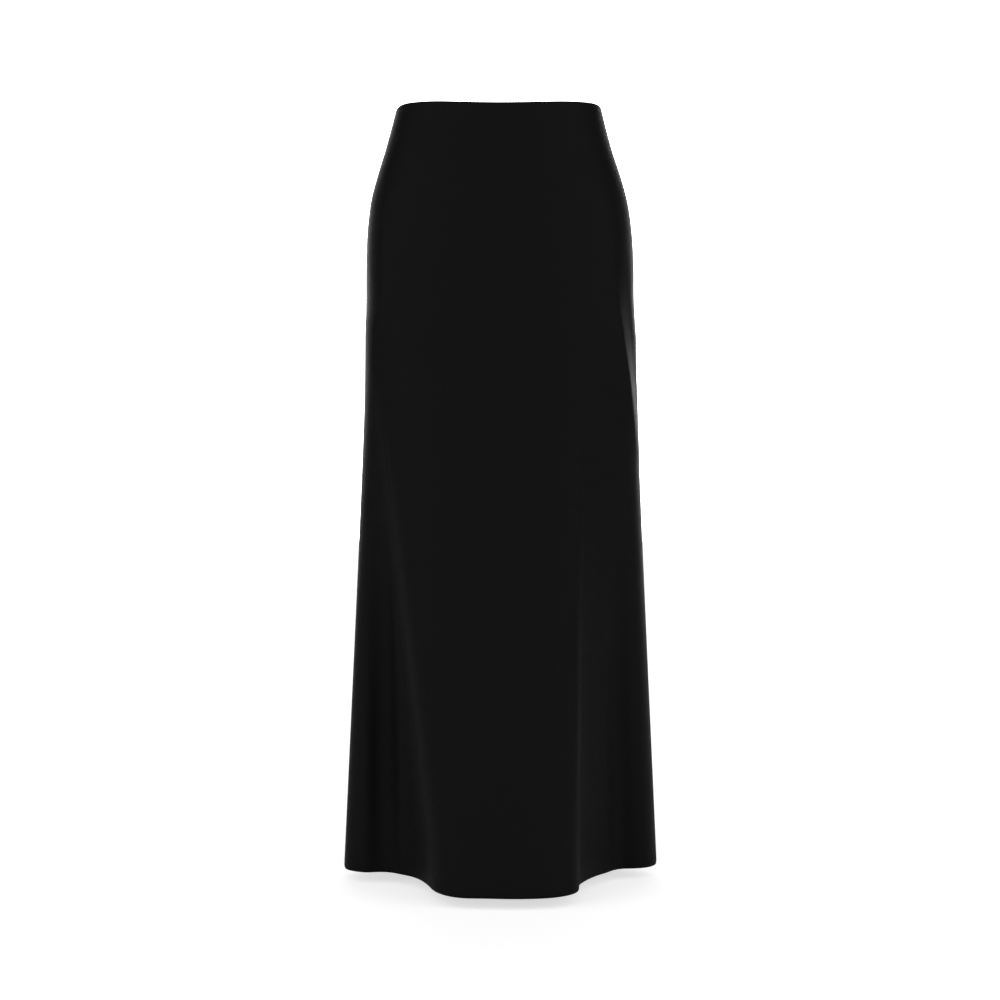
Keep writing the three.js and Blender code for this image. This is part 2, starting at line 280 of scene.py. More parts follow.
def eased_point(place, down):
    """A point of the part's outer face, with its folds eased."""
    place, down = np.broadcast_arrays(np.asarray(place, float), np.asarray(down, float))
    angle = fold_angle(place)
    fall = np.clip((down - FORM_LENGTH) / (SKIRT_LENGTH - FORM_LENGTH), 0, 1)
    reach = ease_high(angle) * (1 - fall) + ease_low(angle) * fall
    reach = reach * np.clip((down - EASE_FROM) / (EASE_FULL - EASE_FROM), 0, 1)
    return sum(
        share * hanging_point(place_along(place, part * reach, down), down)
        for part, share in EASE_SHARES
    )


# ---------------------------------------------------------------- creases

# Each crease runs down the cloth along rows of (distance down, degrees on the form, height),
# a ridge where the height is positive and a trough where it is negative. Across, it falls off
# over a width to each side, before it (towards smaller angles) and after it, as
# (1 - part ** leave) ** arrive: (1, 2) is a pressed edge, (2, 2) a soft roll, (2, 1) a hollow
# with a crisp rim, (1, 1) an even slope. aside moves it off its line.
PRESSED, ROLLED, HOLLOW, FLAT = (1, 2), (2, 2), (2, 1), (1, 1)
CREASES = [
    # The right hip: the cloth turns at an edge, nearly flat behind it
    {"aside": 0, "before": (50, FLAT), "after": (44, PRESSED), "rows": [
        (50, 206, 0), (100, 208.5, 1.2), (130, 211.3, 2.4), (165, 213.9, 3.4), (203, 214.6, 4.0),
        (248, 215, 4.3), (264, 212.6, 4.3), (274, 209.7, 4.2), (288, 207.1, 4.0),
        (304, 206.3, 3.6), (320, 205.2, 3.0), (338, 203.6, 2.0), (358, 202.4, 0.9), (390, 201, 0)]},
    # The left hip: an edge that runs out to the side seam
    {"aside": 0, "before": (52, PRESSED), "after": (42, FLAT), "rows": [
        (150, 324, 0), (205, 325, 1.6), (253, 326, 3.0), (304, 328.5, 4.8), (328, 330.5, 6.0),
        (354, 333, 6.4), (379, 335.6, 5.7), (404, 339, 4.1), (430, 343, 2.1), (462, 347, 0)]},
    {"aside": 20, "before": (20, HOLLOW), "after": (20, ROLLED), "rows": [
        (180, 325, 0), (253, 326, -1.8), (304, 328.5, -2.3), (354, 333, -2.4),
        (404, 339, -1.4), (440, 344, 0)]},
    # The left crest of the front, pressed a little
    {"aside": 0, "before": (16, PRESSED), "after": (22, PRESSED), "rows": [
        (640, 301.6, 0), (760, 301.7, 0.6), (880, 301.9, 1.1), (989, 302.2, 1.4)]},
    # The troughs beside the front, deeper and narrower than the folds
    {"aside": 0, "before": (24, ROLLED), "after": (30, ROLLED), "rows": [
        (500, 206.5, 0), (590, 206.2, -4), (700, 205.2, -9), (820, 204.4, -11),
        (920, 204.0, -8), (989, 203.8, -4)]},
    {"aside": 0, "before": (30, ROLLED), "after": (22, ROLLED), "rows": [
        (560, 324, 0), (680, 324.6, -3), (800, 325.4, -5), (920, 326.2, -5), (989, 326.6, -3)]},
    # Soft drags of the cloth over the front hips, and from the waist
    {"aside": 0, "before": (30, ROLLED), "after": (26, ROLLED), "rows": [
        (70, 318, 0), (120, 321, 0.9), (165, 324, 0.7), (205, 327, 0)]},
    {"aside": 0, "before": (24, ROLLED), "after": (30, ROLLED), "rows": [
        (60, 222, 0), (110, 219, 0.7), (150, 216, 0.5), (190, 213, 0)]},
    {"aside": 0, "before": (34, ROLLED), "after": (30, ROLLED), "rows": [
        (330, 246, 0), (480, 244, 0.8), (640, 240, 1.1), (820, 236, 0.6), (989, 233, 0)]},
    {"aside": 0, "before": (30, ROLLED), "after": (36, ROLLED), "rows": [
        (420, 283, 0), (560, 284, -0.6), (740, 285, -0.9), (900, 286, -0.4), (989, 287, 0)]},
    # The side and back: the same turns where the flutes start, uneven from side to side
    {"aside": 0, "before": (36, PRESSED), "after": (30, ROLLED), "rows": [
        (190, 150, 0), (250, 147, 1.4), (310, 143, 2.6), (370, 139, 2.2), (450, 135, 0.9),
        (540, 133, 0)]},
    {"aside": 0, "before": (26, ROLLED), "after": (34, PRESSED), "rows": [
        (215, 31, 0), (280, 35, 1.7), (335, 39, 2.4), (400, 43, 1.5), (500, 46, 0)]},
    {"aside": 0, "before": (22, ROLLED), "after": (20, ROLLED), "rows": [
        (205, 101, 0), (225, 103, -0.9), (262, 106, -1.3), (330, 109, -0.7), (420, 111, 0)]},
    {"aside": 0, "before": (18, ROLLED), "after": (24, ROLLED), "rows": [
        (208, 80, 0), (232, 77, -1.1), (280, 73, -1.0), (352, 71, 0)]},
    {"aside": 0, "before": (22, ROLLED), "after": (22, ROLLED), "rows": [
        (20, 136, 0), (60, 140, -0.8), (95, 145, -0.5), (130, 150, 0)]},
    {"aside": 0, "before": (20, ROLLED), "after": (24, ROLLED), "rows": [
        (24, 43, 0), (66, 39, -0.7), (105, 34, -0.6), (140, 29, 0)]},
    {"aside": 0, "before": (30, ROLLED), "after": (26, ROLLED), "rows": [
        (420, 170, 0), (560, 171, 1.3), (720, 172, 1.6), (880, 173, 0.8), (989, 173, 0.3)]},
    {"aside": 0, "before": (26, ROLLED), "after": (32, ROLLED), "rows": [
        (470, 10, 0), (620, 10, 1.1), (780, 9, 1.4), (989, 8, 0.5)]},
]
EDGE_RADIUS = 1.2  # a pressed edge is this round


def crease_relief(crease, place, down):
    """How far one crease lifts the cloth along its normal."""
    rows = np.array(crease["rows"], float)
    inside = (down > rows[0, 0]) & (down < rows[-1, 0] + (rows[-1, 2] != 0))
    height = np.where(inside, smooth_curve(rows[:, 0], rows[:, 2])(down), 0)
    centre = place_of(smooth_curve(rows[:, 0], rows[:, 1])(down))
    lap = np.round((centre - place) / ROUND) * ROUND
    offset = level_length(place + lap, down) - level_length(centre, down) - crease["aside"]
    share = np.where(offset == 0, 1.0, 0.0)
    for side, (width, (leave, arrive)) in ((-1, crease["before"]), (1, crease["after"])):
        far = np.hypot(offset, EDGE_RADIUS) - EDGE_RADIUS if leave == 1 else np.abs(offset)
        part = np.clip(far / width, 0, 1)
        share = np.where(offset * side > 0, (1 - part ** leave) ** arrive, share)
    return height * share


def relief(place, down):
    """How far all creases lift the cloth."""
    place, down = np.broadcast_arrays(np.asarray(place, float), np.asarray(down, float))
    return sum(crease_relief(crease, place, down) for crease in CREASES)


def cloth_point(place, down):
    """A point of the cloth's outer face, with its creases."""
    lift = relief(place, down)[..., None]
    return eased_point(place, down) + normals(eased_point, place, down) * lift


# ---------------------------------------------------------------- the cloth's section

CLOTH = 1.3  # thickness of the wool
WAIST_TURN, WAIST_FOLD = 9, 2.6  # how far the waist edge is turned in, and how thick its fold is
HEM_TURN, HEM_FOLD = 35, 2.8
HEM_ROLL, HEM_INNER_ROLL = 6.5, 1.3  # the hem's two faces roll in over these heights
HEM_EDGE = 0.6  # how far in the hem's lowest line lies, as a part of the fold's thickness
STEP = 0.8  # a turned edge ends in a step this long
SEAM_DIP, SEAM_ROLL = 0.75, 1.1  # how deep and how far the cloth rolls in at a seam
DART_DIP, DART_ROLL = 0.6, 0.9
DART_LENGTH, DART_FADE = 118, 30  # a dart runs out over its last stretch
DARTS = {"back_left": 62, "back_right": 118}  # degrees on the form
SLIDER_BELOW = 19  # the zip's slider, under the waist edge
HALF_GAP = -0.04  # the panels overlap by a hair, so that no light shows through a seam
NECK_GAP, NECK_REACH = 0.8, 4.6  # the centre back seam parts round the slider's neck


def quarter(part):
    """A quarter circle: 0 with an upright start at part 0, and 1, level, from part 1 on."""
    return np.sqrt(1 - (1 - np.clip(part, 0, 1)) ** 2)


def soft_step(part):
    """From 0, level, at part 0 to 1, level, from part 1 on."""
    part = np.clip(part, 0, 1)
    return part * part * (3 - 2 * part)


def outer_inset(down):
    """How far the outer face lies inside the cloth's own, at the rounded waist and hem."""
    waist = WAIST_FOLD / 2 * (1 - quarter(down / (WAIST_FOLD / 2)))
    hem = HEM_EDGE * HEM_FOLD * (1 - quarter((SKIRT_LENGTH - down) / HEM_ROLL))
    return waist + hem


def inner_depth(down):
    """Depth of the inner face, with the steps of the two turned edges."""
    up = SKIRT_LENGTH - down
    depth = CLOTH + (WAIST_FOLD - CLOTH) * soft_step((WAIST_TURN + STEP - down) / STEP)
    depth = depth + (HEM_FOLD - CLOTH) * soft_step((HEM_TURN - up) / STEP)
    waist = WAIST_FOLD / 2 * (1 - quarter(down / (WAIST_FOLD / 2)))
    hem = (1 - HEM_EDGE) * HEM_FOLD * (1 - quarter(up / HEM_INNER_ROLL))
    return depth - waist - hem


def seam_gap(seam, down):
    """Half the gap between two panels."""
    if seam != BACK_SEAM:
        return np.full_like(down, HALF_GAP)
    near = np.abs(down - SLIDER_BELOW) / NECK_REACH
    return HALF_GAP + NECK_GAP * (1 - np.clip(near, 0, 1) ** 4)


# ---------------------------------------------------------------- meshes

# Distances of the shells' first columns from a seam, and of columns about a dart
EDGE_STEPS = np.array([0, 0.08, 0.22, 0.42, 0.7, 1.1, 1.8, 3.0])
DART_STEPS = np.array([-3.0, -1.7, -0.9, -0.55, -0.25, 0, 0.25, 0.55, 0.9, 1.7, 3.0])
COLUMN, SIDE_COLUMN, ROW = 4.6, 3.2, 4.8  # spacing of points on the hem, by a side, and down
SIDE_REACH = 90  # about a side seam the columns lie closer together so far out

# Rows of points: closer together round the waist and hem, at the steps of their turned edges,
# and by the slider
round_waist = np.array([0, 0.04, 0.16, 0.38, 0.7, 1.1, 1.5, 2.4, 4, 6.5])
step_rows = np.array([-2.2, -0.9, 0, 0.2, 0.4, 0.6, 0.8, 1.6, 3])
round_hem = SKIRT_LENGTH - np.array([16, 12, 9, 7, 5.6, 4.3, 3.2, 2.3, 1.5, 0.9, 0.45, 0.15, 0])
slider_rows = SLIDER_BELOW + np.arange(-5, 5.1, 0.8)
even_rows = np.arange(28, SKIRT_LENGTH - HEM_TURN - 4, ROW)
turn_rows = np.arange(SKIRT_LENGTH - HEM_TURN + 5, SKIRT_LENGTH - 18, ROW)
DOWNS = np.concatenate([
    round_waist, WAIST_TURN + step_rows[1:], slider_rows, even_rows,
    SKIRT_LENGTH - HEM_TURN + step_rows[:-1], turn_rows, round_hem,
])


def seam_place(seam):
    """The place of a seam. A number past the last fold counts on into the next turn."""
    return fold_places[seam % len(FOLDS)] + ROUND * (seam // len(FOLDS))


def filled(start, end):
    """Shares of the way from one place to another, for columns closer together by the sides,
    where the creases are."""
    places = np.linspace(start, end, 600)  # fine enough to count columns by
    sides = np.array([seam_place(s) for s in (LEFT_SEAM, RIGHT_SEAM, len(FOLDS))])
    near = np.exp(-(np.abs(places[:, None] - sides).min(1) / SIDE_REACH) ** 4)
    widths = COLUMN + (SIDE_COLUMN - COLUMN) * near
    count = np.concatenate([[0], np.cumsum(np.diff(places) / widths[1:])])
    cells = math.ceil(count[-1])
    wanted = np.linspace(0, count[-1], cells + 1)[1:-1]
    return (np.interp(wanted, count, places) - start) / (end - start)


def panel_places(first, last, dart):
    """Places of a panel's points: a row for each of DOWNS. Beside the seams and the dart the
    columns keep their distance from them all the way down."""
    def beside(place, steps):
        reach = hanging_point(place + 1, DOWNS) - hanging_point(place - 1, DOWNS)
        stretch = np.linalg.norm(reach, axis=-1) / 2
        return place + steps / stretch[:, None]

    start, end = seam_place(first), seam_place(last)
    groups = [beside(start, EDGE_STEPS + seam_gap(first, DOWNS)[:, None])]
    if dart is not None:
        groups.append(beside(place_of(dart), DART_STEPS))
    groups.append(beside(end, -EDGE_STEPS[::-1] - seam_gap(last, DOWNS)[:, None]))
    columns = [groups[0]]
    for group in groups[1:]:
        left, right = columns[-1][:, -1:], group[:, :1]
        columns += [left + (right - left) * filled(left[-1, 0], right[-1, 0]), group]
    return np.concatenate(columns, axis=1)


def mesh_object(name, points, faces, thread=None):
    """An object from points in millimetres. thread gives each point's place in the weave,
    across and along the cloth."""
    mesh = bpy.data.meshes.new(name)
    mesh.from_pydata((np.asarray(points) * MM).tolist(), [], faces)
    mesh.polygons.foreach_set("use_smooth", np.ones(len(mesh.polygons), bool))
    if thread is not None:
        attribute = mesh.attributes.new("thread", "FLOAT_VECTOR", "POINT")
        values = np.zeros((len(thread), 3), np.float32)
        values[:, :2] = thread * MM
        attribute.data.foreach_set("vector", values.ravel())
    made = bpy.data.objects.new(name, mesh)
    bpy.context.scene.collection.objects.link(made)
    return made


def grid_faces(index):
    """Quads of a grid of point numbers, rows down and columns counter-clockwise from above,
    facing out."""
    a, b, c, d = index[:-1, :-1], index[1:, :-1], index[1:, 1:], index[:-1, 1:]
    return np.stack([a, b, c, d], -1).reshape(-1, 4)


def wall_faces(out, within):
    """Faces of an outer and an inner grid, and of the walls along their first and last
    columns."""
    return [
        grid_faces(out), grid_faces(within)[:, ::-1],
        grid_faces(np.stack([within[:, 0], out[:, 0]], 1)),
        grid_faces(np.stack([out[:, -1], within[:, -1]], 1)),
    ]


def panel(name, first, last, dart=None):
    """A panel from one seam to another, as a closed shell, with its flat size and area."""
    places = panel_places(first, last, dart)
    downs = np.broadcast_to(DOWNS[:, None], places.shape)
    middle = (seam_place(first) + seam_place(last)) / 2
    across = level_length(places, downs) - level_length(np.full_like(places, middle), downs)

    # How far the cloth rolls in at its seams and its dart
    start, end = across[:, :1], across[:, -1:]
    edge = np.minimum(across - start, end - across)
    dip = SEAM_DIP * (1 - quarter(edge / SEAM_ROLL))
    if dart is not None:
        line = level_length(np.full_like(places, place_of(dart)), downs)
        off = np.abs(level_length(places, downs) - line)
        fade = np.clip((DART_LENGTH - downs) / DART_FADE, 0, 1)
        dip = dip + DART_DIP * fade * (1 - soft_step(off / DART_ROLL))

    face = cloth_point(places, downs)
    normal = normals(cloth_point, places, downs)
    outer = face - normal * np.maximum(outer_inset(downs), dip)[..., None]
    inner = face - normal * inner_depth(downs)[..., None]

    rows, columns = places.shape
    out = np.arange(rows * columns).reshape(rows, columns)
    within = out + rows * columns
    # The two faces share their first and last rows, where the walls' quads become triangles
    within[0], within[-1] = out[0], out[-1]
    within[1:-1] -= columns
    faces = np.concatenate(wall_faces(out, within)).tolist()
    faces = [[v for i, v in enumerate(face) if v != face[i - 1]] for face in faces]
    points = np.concatenate([outer.reshape(-1, 3), inner[1:-1].reshape(-1, 3)])
    coordinates = np.stack([across, downs], -1)
    thread = np.concatenate([coordinates.reshape(-1, 2), coordinates[1:-1].reshape(-1, 2)])
    made = mesh_object(name + "_cloth", points, faces, thread)
    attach(made, "skirt")
    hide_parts(name)
    lengths = end[:, 0] - start[:, 0]
    area = ((lengths[1:] + lengths[:-1]) / 2 * np.diff(DOWNS)).sum()
    flat = (lengths.max() * MM, SKIRT_LENGTH * MM)
    return made, flat, area * MM * MM


# ---------------------------------------------------------------- the sewing inside

random = np.random.default_rng(11)
ALLOWANCE = 15  # width of the seam allowances, which are pressed open
ALLOWANCE_FACES = 1.38, 2.3  # depths of their two faces
ALLOWANCE_TOP = WAIST_TURN + STEP + 0.2
ALLOWANCE_BOTTOM = SKIRT_LENGTH - HEM_TURN - STEP - 0.4
ALLOWANCE_ROWS = 190
ALLOWANCE_FLAT = 0.6  # past this part of its width it stands off,
ALLOWANCE_LIFT = 0.35  # so steeply, in mm over its width
SEAM_ROUND, RAW_ROUND = 0.6, 0.5  # it is rounded over so much at the seam, and at its raw edge
ALLOWANCE_EDGE = 0.4  # the part of its thickness that is left there
OVERLOCK_PITCH, OVERLOCK_WIDTH = 2.5, 4.2
OVERLOCK_CLEAR = 3  # the overlocking of the waist turning and the hem ends so far from a seam
OVERLOCK_START, OVERLOCK_LIFT = 0.5, 0.05  # on an allowance: down from its top, and off its face
UNEVEN = 0.03  # how unevenly the overlock is sewn, in parts of its pitch and width
THREAD = 0.13  # radius of the sewing thread
HEM_STITCH_PITCH, HEM_STITCH_UNEVEN = 7.0, 0.35
HEM_STITCH, HEM_STITCH_SLANT = 3.4, 2.6  # how far a stitch runs up, and along
HEM_STITCH_HOLD = 1.2  # it starts so far below the turned edge
HEM_STITCH_CLEAR = 20  # from the seams at both ends


def level_ends(first, last, down):
    """Distances along a level line at which the panel from one seam to another starts and ends."""
    return level_length(np.array([seam_place(first), seam_place(last)]), np.array([down, down]))


def inside_point(place, down, depth):
    """A point at a depth under the cloth's outer face, and the outward normal there."""
    normal = normals(cloth_point, place, down)
    return cloth_point(place, down) - normal * depth[..., None], normal


def slab_faces(rows, columns):
    """Faces of a closed thin piece between two grids of points, the outer one first."""
    out = np.arange(rows * columns).reshape(rows, columns)
    within = out + rows * columns
    return np.concatenate([
        *wall_faces(out, within),
        grid_faces(np.stack([within[0], out[0]], 0)),
        grid_faces(np.stack([out[-1], within[-1]], 0)),
    ])


def strip(seam, side, offsets, downs, near, far):
    """Points, faces and weave of a strip beside a seam. side is 1 counter-clockwise of it and
    -1 clockwise. near and far are the depths of its outer and inner face."""
    offsets = np.sort(side * np.asarray(offsets, float))
    across, down = np.meshgrid(offsets, downs)
    place = place_along(np.full_like(down, seam_place(seam)), across, down)
    outer, normal = inside_point(place, down, near(np.abs(across), down))
    inner = outer - normal * (far(np.abs(across), down) - near(np.abs(across), down))[..., None]
    points = np.concatenate([outer.reshape(-1, 3), inner.reshape(-1, 3)])
    thread = np.tile(np.stack([across, down], -1).reshape(-1, 2), (2, 1))
    return points, slab_faces(*across.shape), thread


def joined_mesh(name, parts):
    """One object from parts, each of which has points and faces, and may have a weave."""
    points, faces, threads, count = [], [], [], 0
    for part in parts:
        points.append(part[0])
        faces += [[v + count for v in face] for face in np.asarray(part[1]).tolist()]
        threads += part[2:]
        count += len(part[0])
    return mesh_object(name, np.concatenate(points), faces,
                       np.concatenate(threads) if threads else None)


def tube(points, reference, radius=THREAD, sides=5):
    """Points and faces of a thread along a line. The reference is a direction that the line
    never takes."""
    tangent = np.gradient(points, axis=0)
    aside = np.cross(tangent, reference)
    aside /= np.linalg.norm(aside, axis=-1, keepdims=True)
    up = np.cross(aside, tangent)
    up /= np.linalg.norm(up, axis=-1, keepdims=True)
    turns = 2 * math.pi * np.arange(sides)[:, None] / sides
    ring = points[:, None] + radius * (np.cos(turns) * aside[:, None] + np.sin(turns) * up[:, None])
    index = np.arange(len(points) * sides).reshape(-1, sides)
    index = np.concatenate([index, index[:, :1]], 1)
    return ring.reshape(-1, 3), grid_faces(index)


def allowances(name, first, last):
    """A panel's two seam allowances, pressed flat on its inside."""
    def near(across, down):
        off = np.clip(across / ALLOWANCE - ALLOWANCE_FLAT, 0, None)
        return ALLOWANCE_FACES[0] + ALLOWANCE_LIFT * off

    def far(across, down):
        rim = quarter(across / SEAM_ROUND) * quarter((ALLOWANCE - across) / RAW_ROUND)
        thick = ALLOWANCE_FACES[1] - ALLOWANCE_FACES[0]
        return near(across, down) + thick * (ALLOWANCE_EDGE + (1 - ALLOWANCE_EDGE) * rim)

    offsets = [0.3, 0.5, 0.9, 3, 6, 9, 12, 14.2, 14.7, 14.9, ALLOWANCE]
    downs = np.linspace(ALLOWANCE_TOP, ALLOWANCE_BOTTOM, ALLOWANCE_ROWS)
    return joined_mesh(name + "_allowances", [
        strip(seam, side, offsets, downs, near, far) for seam, side in ((first, 1), (last, -1))
    ])


def zigzag(count, pattern):
    """A repeated pattern of rows (part of the pitch, part of the width, lift), as one line."""
    rows = np.tile(np.array(pattern, float), (count, 1))
    rows[:, 0] += np.repeat(np.arange(count), len(pattern))
    return rows + random.normal(0, UNEVEN, rows.shape) * (1, 1, 0)


# The overlock's loops: from inside the edge over the cloth and back. A part of the pitch, how
# far in from the edge as a part of the width, and the height over the cloth
LOOPS = [
    (0, -0.05, -0.45), (0.15, 0.05, 0.1), (0.4, 1, 0.12), (0.65, 0.05, 0.1), (0.85, -0.05, -0.45),
]
NEEDLE_LINE = [(0, 0.97, 0.05), (0.5, 0.97, 0.14)]  # the straight stitches over their inner ends


def overlock(name, first, last):
    """The overlocking of a panel's raw edges: its allowances, waist turning and hem."""
    parts = []
    length = ALLOWANCE_BOTTOM - ALLOWANCE_TOP
    for pattern in (LOOPS, NEEDLE_LINE):
        for seam, side in ((first, 1), (last, -1)):
            part, inward, lift = zigzag(int(length / OVERLOCK_PITCH), pattern).T
            down = ALLOWANCE_TOP + OVERLOCK_START + part * OVERLOCK_PITCH
            line = np.full_like(down, seam_place(seam))
            place = place_along(line, side * (ALLOWANCE - inward * OVERLOCK_WIDTH), down)
            depth = ALLOWANCE_FACES[1] + OVERLOCK_LIFT + lift
            points, normal = inside_point(place, down, depth)
            parts.append(tube(points, normal))
        for edge, inwards, depth in (
            (WAIST_TURN + STEP, -1, WAIST_FOLD),
            (SKIRT_LENGTH - HEM_TURN - STEP, 1, HEM_FOLD),
        ):
            start, end = level_ends(first, last, edge)
            count = int((end - start - 2 * OVERLOCK_CLEAR) / OVERLOCK_PITCH)
            part, inward, lift = zigzag(count, pattern).T
            down = edge + inwards * inward * OVERLOCK_WIDTH
            along = start + OVERLOCK_CLEAR + part * OVERLOCK_PITCH
            place = places_by_length.read(along, np.full_like(along, edge))
            points, normal = inside_point(place, down, depth + lift)
            parts.append(tube(points, normal))
    return joined_mesh(name + "_overlock", parts)


def hem_stitches(name, first, last):
    """The hem's blind stitches: short slanting threads from its turned edge up to the cloth."""
    edge = SKIRT_LENGTH - HEM_TURN - STEP
    start, end = level_ends(first, last, edge)
    starts = np.arange(start + HEM_STITCH_CLEAR, end - HEM_STITCH_CLEAR, HEM_STITCH_PITCH)
    starts = starts + random.normal(0, HEM_STITCH_UNEVEN, len(starts))
    part = np.linspace(0, 1, 7)
    along = starts[:, None] + part * HEM_STITCH_SLANT
    down = edge + HEM_STITCH_HOLD - part * HEM_STITCH
    # From just over the hem's fold it steps to the cloth, with a slack bow between
    depth = HEM_FOLD + 0.1 + (CLOTH - HEM_FOLD) * soft_step(part * 1.6)
    depth = depth + 0.5 * np.sin(math.pi * part)
    along, down, depth = np.broadcast_arrays(along, down, depth)
    place = places_by_length.read(along, np.full_like(along, edge))
    points, normal = inside_point(place, down, depth)
    return joined_mesh(name + "_hem_stitches",
                       [tube(line, up) for line, up in zip(points, normal)])


# ---------------------------------------------------------------- the zip

ZIP_TOP, ZIP_LENGTH = 5, 205
TAPE_NEAR, TAPE_WIDTH, TAPE = 0.9, 12, 0.6  # the tape's first edge, its width and its thickness
TAPE_REST = 2.35  # depth of the tape where it lies on the seam allowance
TAPE_RIDGES = 0.22, 0.3, 0.94  # where its woven ridges lie, as parts of its width
RIDGE_HALF, RIDGE_RISE = 0.03, 0.14  # their half width as such a part, and their height
SLIDER_HALF = 4.2  # half the slider's length
COIL_PITCH, COIL_WIRE, COIL_STEPS = 1.3, 0.2, 10  # steps a turn
COIL_START, COIL_END = 2.5, 3  # how far from the tape's two ends the coil ends
COIL_SHIFT = {1: 0.25, -1: 0.75}  # parts of a turn, so that the two sides' loops interleave
COIL_CENTRE, COIL_REACH, COIL_RISE = 1.15, 1.4, 0.62  # the coil's section beside the seam
COIL_OPENS, COIL_PARTS = 7, 1.5  # over what height, and how far, the coils part over the slider
TAPE_STITCH_LINE, TAPE_STITCH_PITCH, TAPE_STITCH = 6.4, 2.6, 2.1  # distance out, pitch and length
TAPE_STITCH_UNEVEN = 0.05
BOTTOM_STOP, TOP_STOP = (1.9, 0.95, 2.4), (1.1, 0.75, 1.0)  # half sizes: across, off the tape, down
BOTTOM_STOP_UP, TOP_STOP_DOWN = 2.6, 1.2  # from the tape's ends


def beside_back_seam(distance, down):
    """The place at a distance from the centre back seam, towards the wearer's right."""
    return place_along(np.full_like(down, seam_place(BACK_SEAM)), distance, down)


def tape_depth(down):
    """Depth of the tape's outer face: over the seam allowance, and just over the waist turning."""
    return np.maximum(TAPE_REST, inner_depth(down) + 0.06)


def zip_tape_cloth(name, side):
    """A tape with its woven ridges beside the coil and at its far edge."""
    def near(across, down):
        return tape_depth(down)

    def far(across, down):
        into = (across - TAPE_NEAR) / TAPE_WIDTH
        ridges = sum(np.exp(-((into - at) / RIDGE_HALF) ** 2) for at in TAPE_RIDGES)
        return near(across, down) + TAPE + RIDGE_RISE * ridges

    offsets = TAPE_NEAR + TAPE_WIDTH * np.linspace(0, 1, 41)
    past_turning = 14  # the rows are closer together above it, over the waist turning
    downs = np.concatenate([
        np.arange(ZIP_TOP, past_turning, 0.6),
        np.arange(past_turning, ZIP_TOP + ZIP_LENGTH, 4),
        [ZIP_TOP + ZIP_LENGTH],
    ])
    return joined_mesh(name, [strip(BACK_SEAM, side, offsets, downs, near, far)])


def coil_apart(down):
    """How far a coil lies out of its closed place."""
    over = np.clip((SLIDER_BELOW - SLIDER_HALF - down) / COIL_OPENS, 0, 1)
    return COIL_PARTS * soft_step(over)


def zip_coil(name, side):
    """One side's teeth: a coiled wire on its tape. The two sides' loops lie between each
    other, and part above the slider."""
    parts = []
    for start, end in (
        (ZIP_TOP + COIL_START, SLIDER_BELOW - SLIDER_HALF),
        (SLIDER_BELOW + SLIDER_HALF, ZIP_TOP + ZIP_LENGTH - COIL_END),
    ):
        turns = int((end - start) / COIL_PITCH)
        turn = np.arange(0, turns, 1 / COIL_STEPS)
        phase = 2 * math.pi * turn
        down = start + (turn + COIL_SHIFT[side]) * COIL_PITCH
        across = COIL_CENTRE + coil_apart(down) - COIL_REACH * np.cos(phase)
        depth = tape_depth(down) + TAPE + COIL_WIRE + COIL_RISE * (1 + np.sin(phase))
        points, normal = inside_point(beside_back_seam(side * across, down), down, depth)
        fall = np.cross(normal, (1.0, 0.0, 0.0))
        parts.append(tube(points, fall, COIL_WIRE, sides=6))
    return joined_mesh(name, parts)


def zip_stitching(name):
    """The machine stitches that hold the tapes to the seam allowances."""
    parts = []
    for side in (1, -1):
        starts = np.arange(ZIP_TOP + 1, ZIP_TOP + ZIP_LENGTH - 3, TAPE_STITCH_PITCH)
        part = np.linspace(0, 1, 6)
        down = starts[:, None] + part * TAPE_STITCH
        across = TAPE_STITCH_LINE + random.normal(0, TAPE_STITCH_UNEVEN, (len(starts), 1))
        # Each stitch lies on the tape in a slight bow, and sinks in at both ends
        depth = tape_depth(down) + TAPE - 0.05 + 0.2 * np.sin(math.pi * part)
        place = beside_back_seam(side * across, down)
        points, normal = inside_point(place, down, depth)
        parts += [tube(line, up) for line, up in zip(points, normal)]
    return joined_mesh(name, parts)


def rounded(value):
    """A sine or cosine, changed so that what it shapes is nearly a block, with soft edges."""
    return np.sign(value) * np.abs(value) ** 0.4


def zip_stops(name):
    """The bottom stop across both coils, and a small top stop on each."""
    parts = []
    # Points in rings from end to end of a stop, each ring closed on itself
    lengthwise, around = np.meshgrid(
        np.linspace(0, math.pi, 15), np.linspace(0, 2 * math.pi, 25)[:-1], indexing="ij"
    )
    for across, down, (half_width, half_rise, half_height) in (
        (0.0, ZIP_TOP + ZIP_LENGTH - BOTTOM_STOP_UP, BOTTOM_STOP),
        (COIL_CENTRE + COIL_PARTS, ZIP_TOP + TOP_STOP_DOWN, TOP_STOP),
        (-COIL_CENTRE - COIL_PARTS, ZIP_TOP + TOP_STOP_DOWN, TOP_STOP),
    ):
        u = half_width * rounded(np.sin(lengthwise)) * rounded(np.cos(around))
        w = half_rise * rounded(np.sin(lengthwise)) * rounded(np.sin(around))
        d = down + half_height * rounded(-np.cos(lengthwise))
        depth = tape_depth(d) + TAPE + half_rise + w
        points, _ = inside_point(beside_back_seam(across + u, d), d, depth)
        index = np.arange(u.size).reshape(u.shape)
        index = np.concatenate([index, index[:, :1]], 1)
        parts.append((points.reshape(-1, 3), grid_faces(index)))
    return joined_mesh(name, parts)


# ---------------------------------------------------------------- materials

YARN = 0.00062  # metres from one yarn of the wool to the next
RIB_YARNS, RIB_SLANT = 2.6, 0.9  # how many yarns apart the twill's ribs are, and how they slant
TAPE_RIB, TAPE_WARP = 0.0007, 0.0009  # metres from one to the next
WOOL, TAPE_SHADE = 0.0053, 0.011  # brightness


